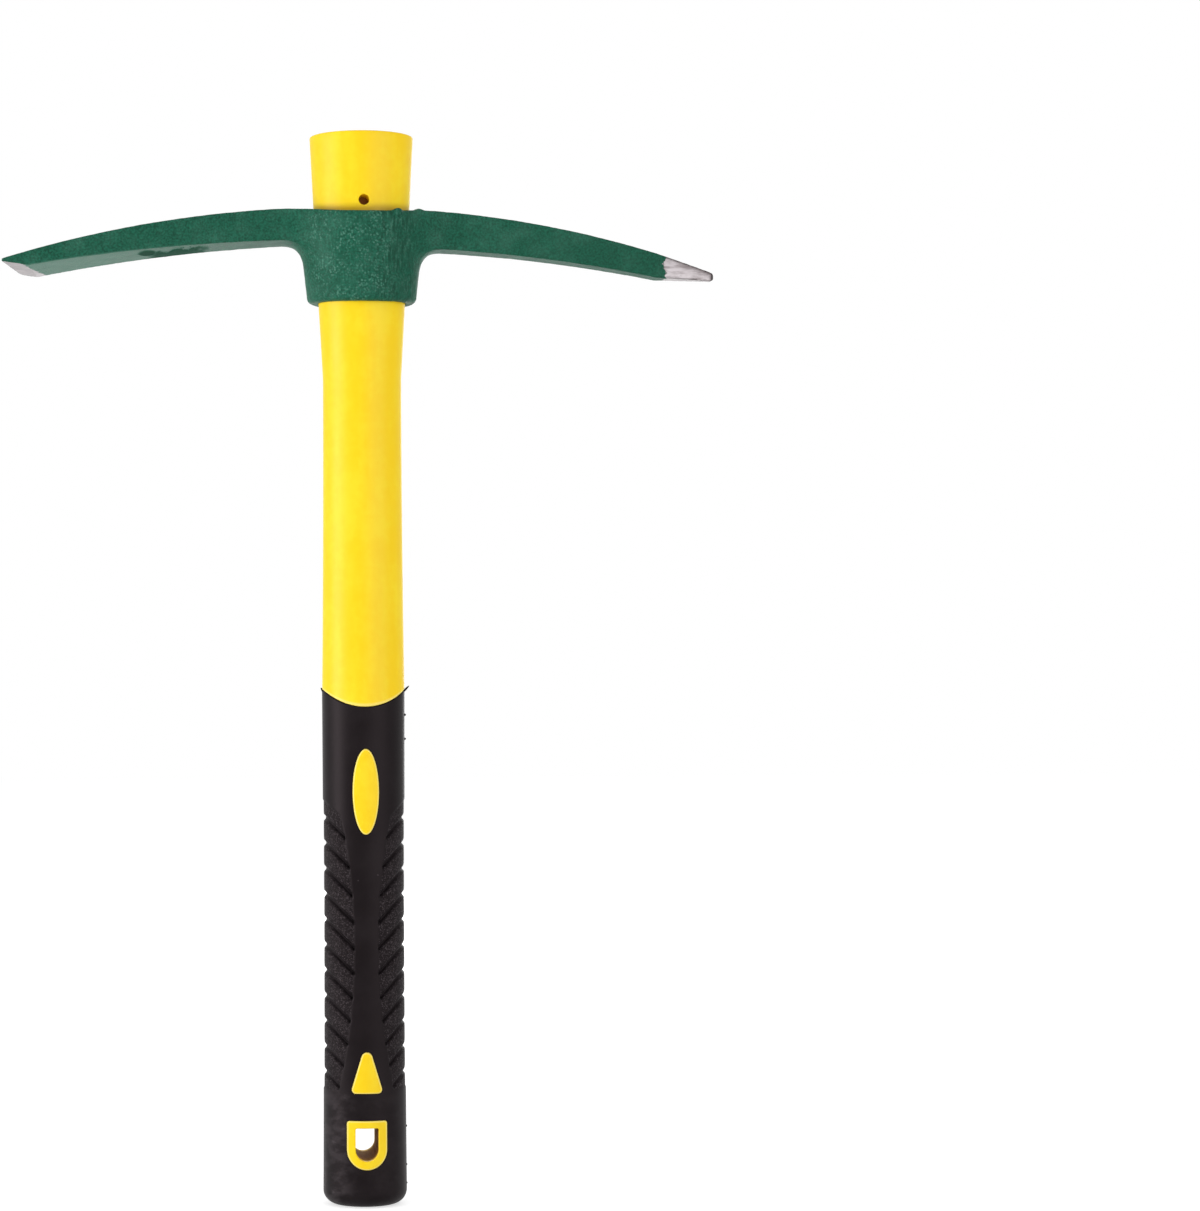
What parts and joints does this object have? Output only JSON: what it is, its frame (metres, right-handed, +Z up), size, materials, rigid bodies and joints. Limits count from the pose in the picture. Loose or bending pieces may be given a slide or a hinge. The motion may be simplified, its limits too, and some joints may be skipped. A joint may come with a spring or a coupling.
{
  "type": "pick mattock",
  "caption": "Short hand mattock with a forged adze and pick head on an oval plastic handle with a fibreglass core, a ribbed rubber grip and a hanging hole.",
  "frame": {"origin": "centre of the flat of the butt, under the handle's axis", "axes": "+Z up the handle towards the head, +X towards the pick, -X towards the adze, -Y is the front face that the picture shows"},
  "size_m": [0.254, 0.039, 0.381],
  "materials": {
    "head_paint": "dark green paint over rough forged steel, bare ground steel at the edge and the point",
    "jacket_plastic": "smooth yellow moulded plastic",
    "core_fibreglass": "brown resin bonded glass fibre",
    "grip_rubber": "satin black rubber with sand textured pads"
  },
  "bodies": {
    "handle": {"handle_jacket": "jacket_plastic", "fibreglass_core": "core_fibreglass", "grip_sleeve": "grip_rubber"},
    "head": {"forged_head": "head_paint"}
  },
  "joints": [
    {"name": "head_slide", "type": "slide", "parent": "handle", "child": "head", "axis": [0, 0, -1], "range_m": [0, 0.316]}
  ]
}
